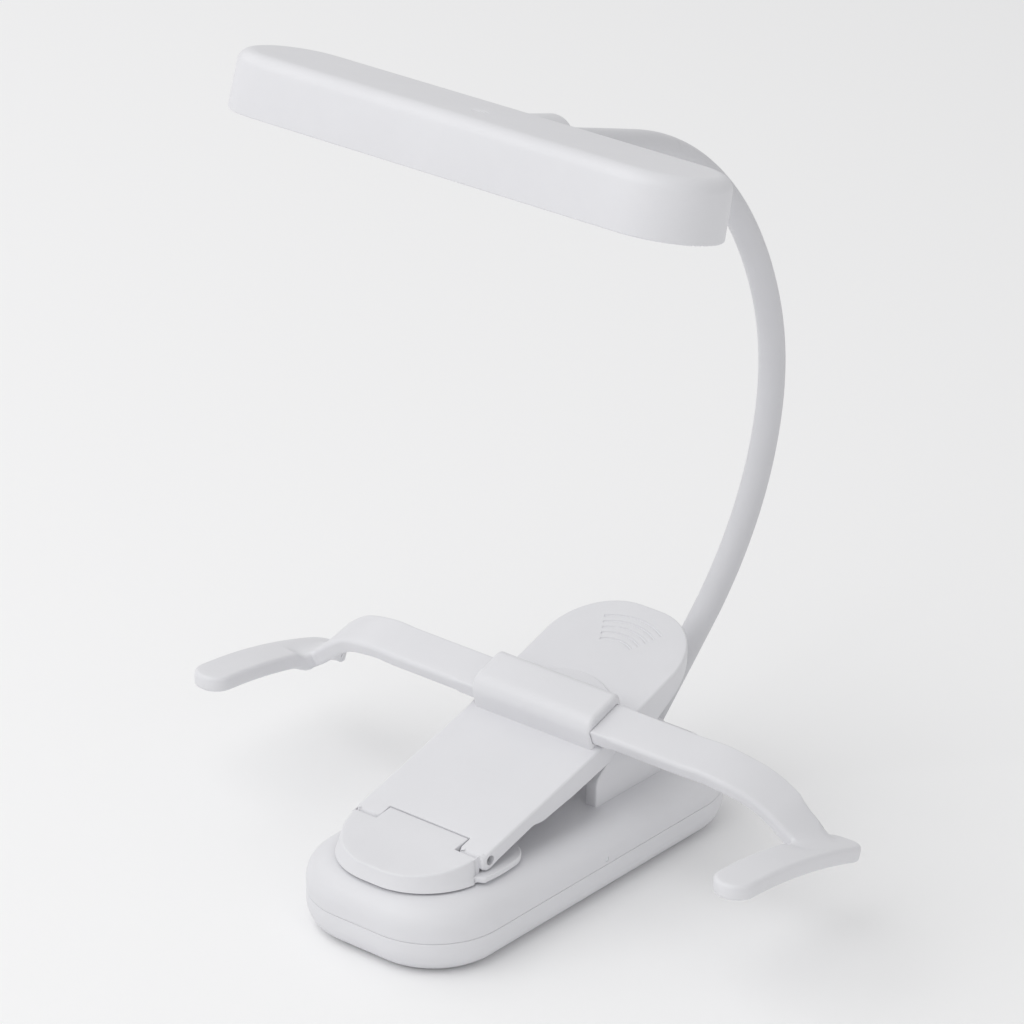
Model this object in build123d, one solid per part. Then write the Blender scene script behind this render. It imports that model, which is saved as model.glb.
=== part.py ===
from build123d import *
import os
from math import cos, degrees, radians, sin, tan

# Clip-on reading lamp: a rechargeable base with a spring clip on top, a page holder with two
# sliding arms across the clip, a bending neck and a long light head.
# Millimetres. Origin: centre of the base's flat bottom. +Z up, +X along the page arms,
# +Y towards the back, where the neck stands.

# ---- base -------------------------------------------------------------------------------
base_length = 100.0
base_width = 45.0
base_height = 15.4
base_corner = 16.3
base_top_round = 5.0
base_bottom_round = 5.4
seam_height = 7.6
seam_chamfer = 0.25
shell_wall = 1.8
post_x = 14.0
post_y = 35.0
post_radius = 3.0

# ---- clip lever -------------------------------------------------------------------------
lever_half_width = 16.95
plate_thickness = 1.9
skirt_thickness = 1.6
kink_y = 4.0
kink_z = 29.8
front_slope = 14.5
rear_slope = 18.5
tab_end_y = 42.9
tab_corner = 14.4
lever_edge = 0.5
pivot_y = 17.0
pivot_z = 27.0
pivot_pin_radius = 1.25
running_gap = 0.05
ear_inner_x = 11.7
ear_outer_x = 14.6

# ---- jaw foot ---------------------------------------------------------------------------
jaw_pin_y = -29.0
jaw_pin_z = 19.4
jaw_pin_radius = 0.9
knuckle_radius = 1.95
knuckle_half_width = 10.4
nose_y = -31.4
toe_half_width = 17.3
toe_front_y = -47.1
toe_back_y = -32.1
toe_corner = 14.5
toe_draft = 20.0
flange_half_width = 18.6
flange_front_y = -45.9
flange_heel_y = -16.9
flange_front_corner = 14.5
flange_heel_corner = 7.0
flange_bottom = 16.5
flange_top = 17.1
pad_thickness = 0.8
part_gap = 0.3

# ---- page holder ------------------------------------------------------------------------
collar_half_length = 15.6
collar_front = 0.3
collar_depth = 11.4
collar_height = 6.8
apron_half_width = 13.2
apron_radius = 26.0
apron_reach = 18.2
arm_width = 9.3
arm_thickness = 3.4
arm_front = 1.2
arm_floor = 1.1
arm_clearance = 0.15
arm_root_x = 14.0
tang_length = 15.0
arm_straight_x = 41.4
arm_bend_radius = 25.8
arm_bend_angle = 36.4
arm_tail_length = 16.0
arm_end_x = 65.9
foot_x = 68.37
foot_centre_y = 0.74
foot_length = 43.0
foot_width = 9.0
foot_thickness = 3.4
foot_toe_in = 0.4

# ---- neck -------------------------------------------------------------------------------
neck_radius = 2.85
neck_start_y = 43.3
neck_start_z = 17.7
neck_start_angle = 43.8
neck_link_length = 23.4
neck_turns = (0.5, 17.0, 19.5, 24.0, 17.0, 19.0, 21.5, 0.8)
ball_radius = 1.9
socket_radius = 2.1
stem_radius = 1.2
rim_past_ball = 0.3
rim_gap = 1.0

# ---- light head, in its own frame: origin at the centre of its underside -----------------
head_length = 116.0
head_width = 26.0
head_height = 12.3
head_corner = 12.4
head_draft = 1.7
head_top_round = 3.0
head_wall = 1.6
head_tilt = -15.7
boss_radius = 5.6
boss_end = 25.5
boss_height = 5.55
head_grip_y = 27.5
diffuser_thickness = 2.0
board_bottom = 8.0
board_thickness = 1.0
led_count = 16
led_pitch = 6.2

os.makedirs("parts", exist_ok=True)


def save(name, shape):
    export_step(shape, f"parts/{name}.step")
    print(name, round(shape.volume, 1))


def slab(width, length, corner, bottom, top, centre=(0, 0)):
    outline = Pos(centre[0], centre[1], bottom) * RectangleRounded(width, length, corner)
    return extrude(outline, top - bottom)


def block(x0, x1, y0, y1, z0, z1):
    return Pos((x0 + x1) / 2, (y0 + y1) / 2, (z0 + z1) / 2) * Box(x1 - x0, y1 - y0, z1 - z0)


def x_rod(radius, x0, x1, y, z):
    return Pos((x0 + x1) / 2, y, z) * Rot(0, 90, 0) * Cylinder(radius, x1 - x0)


def z_rod(radius, x, y, z0, z1):
    return Pos(x, y, (z0 + z1) / 2) * Cylinder(radius, z1 - z0)


def side_plate(face_yz, x0, x1):
    """A profile drawn in the YZ plane, made solid from x0 to x1."""
    return extrude(Pos(x0, 0, 0) * face_yz, x1 - x0, dir=(1, 0, 0))


def yz(y, z):
    return Vector(0, y, z)


def outline_yz(*edges):
    return make_face(Curve() + list(edges))


def polygon_yz(points):
    return make_face(Polyline(*[yz(*p) for p in points], close=True))


def mirrored(shape):
    return mirror(shape, about=Plane.YZ)


def both_sides(shape):
    return shape + mirrored(shape)


def soften(solid, edges, radius):
    """Fillet with the largest of a few radii that the shape takes."""
    for scale in (1.0, 0.8, 0.6, 0.4, 0.2):
        try:
            return fillet(edges, radius * scale)
        except Exception:
            continue
    print("edges left sharp", radius)
    return solid


# ---- base -------------------------------------------------------------------------------
def base_body():
    body = slab(base_width, base_length, base_corner, 0, base_height)
    body = fillet(body.faces().sort_by(Axis.Z)[-1].edges(), base_top_round)
    return fillet(body.faces().sort_by(Axis.Z)[0].edges(), base_bottom_round)


def base_cavity():
    room = slab(base_width - 2 * shell_wall, base_length - 2 * shell_wall,
                base_corner - shell_wall, shell_wall, base_height - shell_wall)
    room = fillet(room.faces().sort_by(Axis.Z)[-1].edges(), base_top_round - shell_wall)
    return fillet(room.faces().sort_by(Axis.Z)[0].edges(), base_bottom_round - shell_wall)


def post_places():
    return [(x, y) for x in (-post_x, post_x) for y in (-post_y, post_y)]


usb_width = 9.0
usb_height = 3.2
usb_depth = 7.4
usb_floor = 6.0
indicator_y = 1.0
indicator_z = 8.9
indicator_radius = 0.8


def usb_shape(grow):
    face = Pos(0, base_length / 2 + grow, usb_floor + usb_height / 2) * Rot(90, 0, 0)
    face = face * RectangleRounded(usb_width + 2 * grow, usb_height + 2 * grow, usb_height / 2.2)
    return extrude(face, usb_depth + 2 * grow, dir=(0, -1, 0))


def ear():
    """Gusset that carries the clip pivot: an upright front edge that rolls back to the pin."""
    crown = 3.5
    foot_z = base_height - 0.6
    front = Line(yz(7.1, foot_z), yz(7.1, 17.2))
    roll = ThreePointArc(yz(7.1, 17.2), yz(8.6, 22.0), yz(12.6, 25.4))
    rise = Line(yz(12.6, 25.4), yz(14.6, 29.7))
    over = ThreePointArc(yz(14.6, 29.7), yz(pivot_y, pivot_z + crown), yz(20.5, 28.7))
    back = Line(yz(20.5, 28.7), yz(29.2, foot_z))
    under = Line(yz(29.2, foot_z), yz(7.1, foot_z))
    plate = side_plate(outline_yz(front, roll, rise, over, back, under), ear_inner_x, ear_outer_x)
    bore = x_rod(pivot_pin_radius + 0.02, ear_inner_x - 1, ear_outer_x + 1, pivot_y, pivot_z)
    return plate - bore


def neck_frames():
    """Joint centres and tangent angles along the neck, in the YZ plane."""
    y, z, angle = neck_start_y, neck_start_z, neck_start_angle
    frames = [(y, z, angle)]
    for turn in neck_turns:
        chord = neck_link_length * sin(radians(turn / 2)) / radians(turn / 2)
        aim = radians(angle + turn / 2)
        y += chord * cos(aim)
        z += chord * sin(aim)
        angle += turn
        frames.append((y, z, angle))
    return frames


def along(frame, distance):
    y, z, angle = frame
    return Vector(0, y + distance * cos(radians(angle)), z + distance * sin(radians(angle)))


def tangent(frame):
    return Vector(0, cos(radians(frame[2])), sin(radians(frame[2])))


def neck_rod(frame, radius, start, end):
    """A straight rod on the neck's tangent at one of its joint centres."""
    plane = Plane(origin=along(frame, start), x_dir=(1, 0, 0), z_dir=tangent(frame))
    return extrude(plane * Circle(radius), end - start)


NECK = neck_frames()
ferrule_radius = 3.3
ferrule_boss = 4.8
ferrule_depth = 7.5


def base_upper_shell():
    shell = base_body() & block(-60, 60, -60, 60, seam_height, 40)
    rim = [e for e in shell.edges() if abs(e.center().Z - seam_height) < 0.01]
    shell = chamfer(rim, seam_chamfer)
    shell = shell + (neck_rod(NECK[0], ferrule_boss, -ferrule_depth, -0.6) & block(-9, 9, 20, 60, 12.5, 40))
    cavity = base_cavity() & block(-60, 60, -60, 60, 0, base_height - shell_wall)
    shell = shell - cavity
    for x, y in post_places():
        shell = shell + z_rod(post_radius, x, y, seam_height, base_height - shell_wall + 0.3)
        shell = shell - z_rod(0.8, x, y, seam_height - 1, base_height - 3.2)
    shell = shell + both_sides(ear())
    shell = shell - neck_rod(NECK[0], ferrule_radius + 0.03, -ferrule_depth - 4, 3)
    shell = shell - usb_shape(0.2)
    hole = x_rod(indicator_radius + 0.03, 18, 30, indicator_y, indicator_z)
    return shell - hole


def base_lower_shell():
    shell = base_body() & block(-60, 60, -60, 60, -1, seam_height)
    rim = [e for e in shell.edges() if abs(e.center().Z - seam_height) < 0.01]
    shell = chamfer(rim, seam_chamfer) - base_cavity()
    for x, y in post_places():
        shell = shell + z_rod(post_radius + 0.4, x, y, shell_wall - 0.3, seam_height)
        shell = shell - z_rod(1.2, x, y, -1, seam_height + 1) - z_rod(2.3, x, y, -1, 3.2)
    return shell - usb_shape(0.2)


def base_screws():
    screws = []
    for x, y in post_places():
        screw = z_rod(2.0, x, y, 1.5, 3.1) + z_rod(0.75, x, y, 3.0, 11.4)
        slot = block(x - 1.2, x + 1.2, y - 0.25, y + 0.25, 1.0, 2.1)
        cross = block(x - 0.25, x + 0.25, y - 1.2, y + 1.2, 1.0, 2.1)
        screws.append(screw - slot - cross)
    return Compound(children=screws)


def battery_cell():
    cell = slab(26, 50, 1.5, 2.1, 9.6, centre=(0, -5))
    return fillet(cell.edges().filter_by(GeomType.LINE, reverse=True), 0.4)


def control_board():
    board = slab(20, 22, 1.0, 4.8, usb_floor, centre=(0, 35.5))
    chip = block(-4, 4, 27, 33, usb_floor, usb_floor + 1.2)
    coil = z_rod(2.2, -6.5, 38, usb_floor, usb_floor + 2.4)
    legs = [z_rod(1.2, x, y, shell_wall, 4.8) for x in (-7, 7) for y in (27, 42)]
    return board + chip + coil + legs


def usb_c_socket():
    body = usb_shape(0)
    mouth_depth = usb_depth - 1.2
    mouth = Pos(0, base_length / 2, usb_floor + usb_height / 2) * Rot(90, 0, 0)
    mouth = extrude(mouth * RectangleRounded(8.3, 2.5, 1.2), mouth_depth, dir=(0, -1, 0))
    tongue = block(-3.3, 3.3, base_length / 2 - mouth_depth, base_length / 2 - 1.4, 7.3, 7.9)
    return Pos(0, -0.35, 0) * (body - mouth + tongue)


def indicator_lens():
    return x_rod(indicator_radius, 20.8, base_width / 2 - 0.15, indicator_y, indicator_z)


def neck_base_ferrule():
    ferrule = neck_rod(NECK[0], ferrule_radius, -ferrule_depth, rim_past_ball)
    ball_room = Pos(*along(NECK[0], 0)) * Sphere(socket_radius)
    wire_way = neck_rod(NECK[0], 1.0, -ferrule_depth - 1, -1)
    return ferrule - ball_room - wire_way


def lever_pivot_pin():
    return x_rod(pivot_pin_radius, -16.3, 16.3, pivot_y, pivot_z)


coil_inner = 1.6
wire = 0.9
coil_turns = 8
leg_x = 5.2


def clip_spring():
    """Close-wound coil round the pivot pin, with the leg that pushes on the base."""
    turns = coil_turns + 3
    coil_half = turns * wire / 2
    outer = coil_inner + wire
    coil = x_rod(outer - 0.2, -coil_half, coil_half, pivot_y, pivot_z)
    for k in range(turns):
        x = -coil_half + (k + 0.5) * wire
        coil = coil + x_rod(outer, x - 0.36 * wire, x + 0.36 * wire, pivot_y, pivot_z)
    coil = coil - x_rod(coil_inner, -coil_half - 1, coil_half + 1, pivot_y, pivot_z)
    leg_z = base_height + part_gap + wire / 2
    start = Vector(-coil_half + wire / 2, pivot_y - outer + 0.6 * wire, pivot_z)
    knee = Vector(start.X, start.Y, leg_z)
    end = Vector(start.X, pivot_y + 12, leg_z)
    leg = rod_between(start, knee, wire / 2) + rod_between(knee, end, wire / 2)
    leg = leg + Pos(*knee) * Sphere(wire / 2)
    return coil + leg


def rod_between(a, b, radius):
    plane = Plane(origin=a, z_dir=(b - a))
    return extrude(plane * Circle(radius), (b - a).length)


# ---- clip lever -------------------------------------------------------------------------
def front_top(y):
    return kink_z + (y - kink_y) * tan(radians(front_slope))


def rear_top(y):
    return kink_z + (y - kink_y) * tan(radians(rear_slope))


def lever_plan(inset):
    """Plan outline: straight sides and a round-cornered tab at the back."""
    half = lever_half_width - inset
    front = -36.0
    end = tab_end_y - inset
    middle = (front + end) / 2
    sheet = Pos(0, middle, 0) * RectangleRounded(2 * half, end - front, tab_corner - inset)
    sheet = extrude(sheet, 60)
    return sheet + block(-half, half, front, 0, 0, 60)


def clip_lever():
    nose_top = front_top(nose_y + 0.5)
    skirt = [(nose_y, jaw_pin_z - 0.8), (nose_y, nose_top - 0.6), (nose_y + 0.5, nose_top), (kink_y, kink_z),
             (tab_end_y + 1, rear_top(tab_end_y + 1)), (tab_end_y + 1, 38.6), (38.0, 37.6), (31.5, 34.3),
             (27.5, 31.9), (24.0, 29.8), (22.0, 28.0), (20.0, 25.5), (18.5, 24.3), (17.0, 24.5),
             (15.0, 26.0), (13.0, 27.6), (10.5, 28.0), (8.6, 26.0), (-3.4, 23.0), (-13.9, 21.2),
             (-15.5, 21.6), (-26.8, 18.3), (jaw_pin_y, jaw_pin_z - knuckle_radius), (nose_y + 1, 17.7)]
    side = side_plate(polygon_yz(skirt), -lever_half_width, lever_half_width)
    body = side & lever_plan(0)
    under = [(-25.4, front_top(-25.4) - plate_thickness), (kink_y, kink_z - plate_thickness),
             (tab_end_y, rear_top(tab_end_y) - plate_thickness), (tab_end_y, 0), (-25.4, 0)]
    room = side_plate(polygon_yz(under), -lever_half_width, lever_half_width)
    body = body - (room & lever_plan(skirt_thickness))
    notch = knuckle_half_width + 0.2
    body = body - block(-notch, notch, -40, jaw_pin_y + 1.4, 10, 30)
    top_edges = [e for e in body.edges() if is_top_rim(e)]
    body = soften(body, top_edges, lever_edge)
    body = body - x_rod(jaw_pin_radius + 0.02, -20, 20, jaw_pin_y, jaw_pin_z)
    body = body - x_rod(pivot_pin_radius + running_gap, -20, 20, pivot_y, pivot_z)
    for k in range(5):
        body = body - grip_groove(15.2 - 1.75 * k)
    return body


def is_top_rim(edge):
    """Edges on the outline of the lever's two top planes."""
    middle = edge.position_at(0.5)
    on_front = abs(middle.Z - front_top(middle.Y)) < 0.02 and middle.Y < kink_y
    on_rear = abs(middle.Z - rear_top(middle.Y)) < 0.02 and middle.Y > kink_y
    inside = abs(middle.X) < lever_half_width - 2 and middle.Y < tab_end_y - 3
    return (on_front or on_rear) and not inside


def grip_groove(radius):
    """One shallow arc-shaped groove in the thumb tab."""
    centre_y = 24.2
    plane = Plane(origin=(0, centre_y, rear_top(centre_y)), x_dir=(1, 0, 0),
                  z_dir=(0, -sin(radians(rear_slope)), cos(radians(rear_slope))))
    ring = Circle(radius + 0.3) - Circle(radius - 0.3)
    wedge = make_face(Polyline((0, 0), (-13, 22), (13, 22), close=True))
    return extrude(plane * (ring & wedge), 0.25, both=True)


def jaw_hinge_pin():
    return x_rod(jaw_pin_radius, -16.2, 16.2, jaw_pin_y, jaw_pin_z)


def spring_lever_leg():
    """The end of the spring wire that bears on the underside of the thumb tab."""
    clear = coil_inner + wire + 0.35
    x = leg_x
    gap = plate_thickness + 0.1 + wire / 2
    start = Vector(x, pivot_y + clear * 0.55, pivot_z + clear * 0.95)
    normal = Vector(0, -sin(radians(rear_slope)), cos(radians(rear_slope)))
    on_tab = Vector(x, 23.0, rear_top(23.0)) - normal * gap
    end = Vector(x, 31.0, rear_top(31.0)) - normal * gap
    leg = rod_between(start, on_tab, wire / 2) + rod_between(on_tab, end, wire / 2)
    return leg + Pos(*on_tab) * Sphere(wire / 2)


# ---- jaw foot ---------------------------------------------------------------------------
def flange_plan(inset, bottom, top):
    """Seen from above: a broad D with its round end forward and softer corners at the heel."""
    half = flange_half_width - inset
    front = flange_front_y + inset
    heel = flange_heel_y - inset
    sheet = Pos(0, (front + heel) / 2, bottom) * Rectangle(2 * half, heel - front)
    sheet = fillet(sheet.vertices().group_by(Axis.Y)[0], flange_front_corner - inset)
    sheet = fillet(sheet.vertices().group_by(Axis.Y)[-1], flange_heel_corner - inset)
    return extrude(sheet, top - bottom)


def toe_block():
    """The D-shaped front of the foot, before its crown is cut: its wall leans outwards downwards."""
    hidden_back = toe_back_y + 10
    sheet = Rectangle(2 * toe_half_width, hidden_back - toe_front_y)
    sheet = Pos(0, (toe_front_y + hidden_back) / 2, flange_bottom) * sheet
    sheet = fillet(sheet.vertices().group_by(Axis.Y)[0], toe_corner)
    return extrude(sheet, 5.6, taper=toe_draft) & block(-30, 30, -60, toe_back_y, 0, 60)


def jaw_foot():
    front = toe_front_y - 1
    crown = [Line(yz(front, 10), yz(front, 18.3)),
             ThreePointArc(yz(front, 18.3), yz(-40.0, 20.0), yz(toe_back_y, 20.95)),
             Line(yz(toe_back_y, 20.95), yz(toe_back_y, 10)),
             Line(yz(toe_back_y, 10), yz(front, 10))]
    foot = toe_block() & side_plate(outline_yz(*crown), -toe_half_width - 1, toe_half_width + 1)
    foot = foot + flange_plan(0, flange_bottom, flange_top)
    half = knuckle_half_width - 0.1
    foot = foot + side_plate(knuckle_face(toe_back_y - 1), -half, half)
    return foot - x_rod(jaw_pin_radius + running_gap, -20, 20, jaw_pin_y, jaw_pin_z)


def knuckle_face(front):
    """Side view of the foot's hinge block: level with the lever's top, cut away low at the back."""
    back = jaw_pin_y + 1.1
    crest = front_top(back - 0.7) - 0.05
    foot_z = (flange_bottom + flange_top) / 2
    low_back, low_rise = yz(back - 1.0, foot_z), yz(back, jaw_pin_z - 0.6)
    return outline_yz(Line(yz(front, foot_z), low_back),
                      Line(low_back, low_rise),
                      Line(low_rise, yz(back, crest - 0.7)),
                      ThreePointArc(yz(back, crest - 0.7), yz(back - 0.2, crest - 0.2), yz(back - 0.7, crest)),
                      Line(yz(back - 0.7, crest), yz(front, 20.8)),
                      Line(yz(front, 20.8), yz(front, foot_z)))


def jaw_pad():
    pad = flange_plan(1.6, flange_bottom - pad_thickness, flange_bottom)
    for k in range(7):
        y = -41.5 + 3.6 * k
        groove = block(-30, 30, y - 0.4, y + 0.4, 15.0, flange_bottom - pad_thickness + 0.3)
        pad = pad - groove
    return pad


# ---- page holder, in the frame of the lever's rear slope: u back along it, w away from it ---
HOLDER = Location(Plane(origin=(0, kink_y, kink_z), x_dir=(1, 0, 0),
                        z_dir=(0, -sin(radians(rear_slope)), cos(radians(rear_slope)))))


def page_holder_collar():
    front, rear = collar_front, collar_front + collar_depth
    edges = [Line(yz(front, 0), yz(front, 3.4)),
             ThreePointArc(yz(front, 3.4), yz(front + 1.0, 5.8), yz(front + 3.4, collar_height)),
             Line(yz(front + 3.4, collar_height), yz(rear - 1.6, collar_height)),
             ThreePointArc(yz(rear - 1.6, collar_height), yz(rear - 0.47, collar_height - 0.47),
                           yz(rear, collar_height - 1.6)),
             Line(yz(rear, collar_height - 1.6), yz(rear, 0)),
             Line(yz(rear, 0), yz(front, 0))]
    sleeve = side_plate(outline_yz(*edges), -collar_half_length, collar_half_length)
    ends = [e for e in sleeve.edges() if abs(abs(e.position_at(0.5).X) - collar_half_length) < 0.01
            and e.position_at(0.5).Z > 0.5]
    sleeve = soften(sleeve, ends, 0.7)
    apron = Pos(0, apron_reach - apron_radius, 0) * Cylinder(apron_radius, 1.2)
    sleeve = sleeve + (apron & block(-apron_half_width, apron_half_width, 6, 30, 0, 0.6))
    c = arm_clearance
    tunnel = block(-20, 20, arm_front - c, arm_front + arm_width + c,
                   arm_floor - c, arm_floor + arm_thickness + c)
    return HOLDER * (sleeve - tunnel)


def arm_band():
    """Side view of the arm in the X-W plane: straight, bending down, then straight to the foot."""
    top = arm_floor + arm_thickness
    bend = radians(arm_bend_angle)
    edges = []
    rims = []
    for radius in (arm_bend_radius, arm_bend_radius - arm_thickness):
        centre_w = top - arm_bend_radius
        start = Vector(arm_straight_x, 0, centre_w + radius)
        half = Vector(arm_straight_x + radius * sin(bend / 2), 0, centre_w + radius * cos(bend / 2))
        end = Vector(arm_straight_x + radius * sin(bend), 0, centre_w + radius * cos(bend))
        edges.append(ThreePointArc(start, half, end))
        rims.append((start, end))
    root_top, root_floor = Vector(arm_root_x, 0, top), Vector(arm_root_x, 0, arm_floor)
    tail = Vector(cos(bend), 0, -sin(bend)) * arm_tail_length
    edges.append(Line(root_top, rims[0][0]))
    edges.append(Line(root_floor, rims[1][0]))
    edges.append(Line(root_top, root_floor))
    edges.append(Line(rims[0][1], rims[0][1] + tail))
    edges.append(Line(rims[1][1], rims[1][1] + tail))
    edges.append(Line(rims[0][1] + tail, rims[1][1] + tail))
    face = make_face(Curve() + edges)
    return extrude(face, 20, dir=(0, 1, 0)) + extrude(face, 20, dir=(0, -1, 0))


def arm_plan():
    """Seen along W: the arm widens a little towards its foot."""
    front, rear = arm_front, arm_front + arm_width
    flare = [(arm_root_x, front), (arm_straight_x + 3, front), (57.0, front + 1.4), (arm_end_x, front + 1.2),
             (arm_end_x, rear + 0.8), (57.0, rear + 1.2), (arm_straight_x + 3, rear), (arm_root_x, rear)]
    outline = make_face(Polyline(*flare, close=True))
    return extrude(Pos(0, 0, -40) * outline, 60)


def arm_foot():
    """Bowed blade across the end of the arm that presses on the page."""
    tops = [yz(-22.0, 29.2), yz(1.0, 26.78), yz(23.5, 20.3)]
    drop = Vector(0, 0, foot_thickness)
    edges = [ThreePointArc(*tops), ThreePointArc(*[p - drop for p in tops]),
             Line(tops[0], tops[0] - drop), Line(tops[2], tops[2] - drop)]
    band = side_plate(outline_yz(*edges), foot_x - 10, foot_x + 10)
    plan = Pos(foot_x, foot_centre_y, 0) * Rot(0, 0, 90 + foot_toe_in) * SlotOverall(foot_length, foot_width)
    blade = band & extrude(plan, 50)
    rim = [e for e in blade.edges() if e.length > 5]
    return soften(blade, rim, 0.9)


def page_arm_right():
    bar = arm_band() & arm_plan()
    half_front = arm_front + arm_width / 2 - 0.15
    tang = block(arm_root_x - tang_length, arm_root_x + 0.5, arm_front, half_front,
                 arm_floor, arm_floor + arm_thickness)
    return HOLDER * (bar + tang) + arm_foot()


def page_arm_left():
    bar = arm_band() & arm_plan()
    half_rear = arm_front + arm_width / 2 + 0.15
    tang = block(arm_root_x - tang_length, arm_root_x + 0.5, half_rear, arm_front + arm_width,
                 arm_floor, arm_floor + arm_thickness)
    return mirrored(HOLDER * (bar + tang) + arm_foot())


# ---- neck -------------------------------------------------------------------------------
def neck_link(index):
    """One length of the bending neck: ball and stem at its foot, socket at its top."""
    start, end = NECK[index], NECK[index + 1]
    turn = neck_turns[index]
    radius = neck_link_length / radians(turn)
    centre_y = start[0] - radius * sin(radians(start[2]))
    centre_z = start[1] + radius * cos(radians(start[2]))
    first = start[2] + degrees((rim_past_ball + rim_gap) / radius)
    last = end[2] + degrees(rim_past_ball / radius)
    spots = []
    for angle in (first, (first + last) / 2, last):
        a = radians(angle)
        spots.append(yz(centre_y + radius * sin(a), centre_z - radius * cos(a)))
    path = ThreePointArc(*spots)
    ring = Plane(origin=path @ 0, x_dir=(1, 0, 0), z_dir=path % 0) * Circle(neck_radius)
    tube = sweep(ring, path=path)
    ball = Pos(*along(start, 0)) * Sphere(ball_radius)
    stem = neck_rod(start, stem_radius, 0, rim_past_ball + rim_gap + 1.0)
    room = Pos(*along(end, 0)) * Sphere(socket_radius)
    return tube + ball + stem - room


# ---- light head -------------------------------------------------------------------------
def head_place():
    """Where the head's own frame lies: its grip point is on the last joint of the neck."""
    y, z, _ = NECK[-1]
    tilt = radians(head_tilt)
    back = head_grip_y * cos(tilt) - boss_height * sin(tilt)
    rise = head_grip_y * sin(tilt) + boss_height * cos(tilt)
    return Location((0, y - back, z - rise), (head_tilt, 0, 0))


HEAD = head_place()


def board_posts():
    return [(x, y) for x in (-44, 44) for y in (-5, 5)]


def y_rod(radius, x, y0, y1, z):
    return Pos(x, (y0 + y1) / 2, z) * Rot(90, 0, 0) * Cylinder(radius, y1 - y0)


def head_housing():
    body = extrude(RectangleRounded(head_length, head_width, head_corner), head_height, taper=head_draft)
    body = soften(body, body.faces().sort_by(Axis.Z)[-1].edges(), head_top_round)
    boss = y_rod(boss_radius, 0, 8, boss_end, boss_height)
    boss = soften(boss, boss.faces().sort_by(Axis.Y)[-1].edges(), 1.8)
    body = body + boss
    pocket = slab(head_length - 2 * head_wall, head_width - 2 * head_wall, head_corner - head_wall,
                  -1, head_height - 1.8)
    body = body - pocket
    for x, y in board_posts():
        body = body + z_rod(1.5, x, y, board_bottom + board_thickness, head_height - 1.7)
        body = body - z_rod(0.6, x, y, board_bottom, head_height - 2.2)
    return HEAD * (body - y_rod(2.2, 0, 5, 40, boss_height))


def head_neck_ferrule():
    y, z, angle = NECK[-1]
    ball = Pos(0, y, z) * Sphere(ball_radius)
    stem = neck_rod(NECK[-1], stem_radius, 0, rim_past_ball + rim_gap + 1.0)
    grip = HEAD * y_rod(2.15, 0, 13, head_grip_y - rim_past_ball - rim_gap, boss_height)
    flange = HEAD * y_rod(neck_radius, 0, boss_end, head_grip_y - rim_past_ball - rim_gap, boss_height)
    return ball + stem + grip + flange


def head_diffuser():
    plate = slab(head_length - 2 * head_wall - 0.4, head_width - 2 * head_wall - 0.4,
                 head_corner - head_wall - 0.2, 0.3, 0.3 + diffuser_thickness)
    return HEAD * plate


def led_board():
    board = slab(104, 15, 2.0, board_bottom, board_bottom + board_thickness)
    for x, y in board_posts():
        board = board - z_rod(0.7, x, y, 0, 20)
    return HEAD * board


def led_chips():
    chips = []
    for k in range(led_count):
        x = (k - (led_count - 1) / 2) * led_pitch
        for y in (-3.0, 3.0):
            if abs(abs(x) - 44) > 3:
                chips.append(block(x - 1.4, x + 1.4, y - 1.1, y + 1.1, board_bottom - 0.8, board_bottom))
    return HEAD * Compound(children=chips)


def board_screws():
    screws = []
    for x, y in board_posts():
        screws.append(z_rod(1.2, x, y, board_bottom - 0.8, board_bottom) +
                      z_rod(0.55, x, y, board_bottom - 0.2, head_height - 2.4))
    return HEAD * Compound(children=screws)


def touch_sensor_plate():
    return HEAD * slab(10, 8, 1.0, head_height - 2.4, head_height - 1.8)


MAKERS = {
    "base_upper_shell": base_upper_shell,
    "base_lower_shell": base_lower_shell,
    "base_screws": base_screws,
    "battery_cell": battery_cell,
    "control_board": control_board,
    "usb_c_socket": usb_c_socket,
    "indicator_lens": indicator_lens,
    "neck_base_ferrule": neck_base_ferrule,
    "lever_pivot_pin": lever_pivot_pin,
    "clip_spring": clip_spring,
    "clip_lever": clip_lever,
    "spring_lever_leg": spring_lever_leg,
    "page_holder_collar": page_holder_collar,
    "jaw_hinge_pin": jaw_hinge_pin,
    "jaw_foot": jaw_foot,
    "jaw_pad": jaw_pad,
    "page_arm_right": page_arm_right,
    "page_arm_left": page_arm_left,
    "head_housing": head_housing,
    "head_neck_ferrule": head_neck_ferrule,
    "head_diffuser": head_diffuser,
    "led_board": led_board,
    "led_chips": led_chips,
    "board_screws": board_screws,
    "touch_sensor_plate": touch_sensor_plate,
}

for node, maker in MAKERS.items():
    save(node, maker())
for link in range(len(neck_turns)):
    save(f"neck_link_{link + 1}", neck_link(link))
for number, (y, z, angle) in enumerate(NECK):
    print("neck joint", number, round(y, 3), round(z, 3), round(angle, 2))
print("head origin", HEAD.position)
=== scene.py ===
import math

import bmesh
import bpy
import numpy as np
from mathutils import Matrix, Vector, geometry


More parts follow.
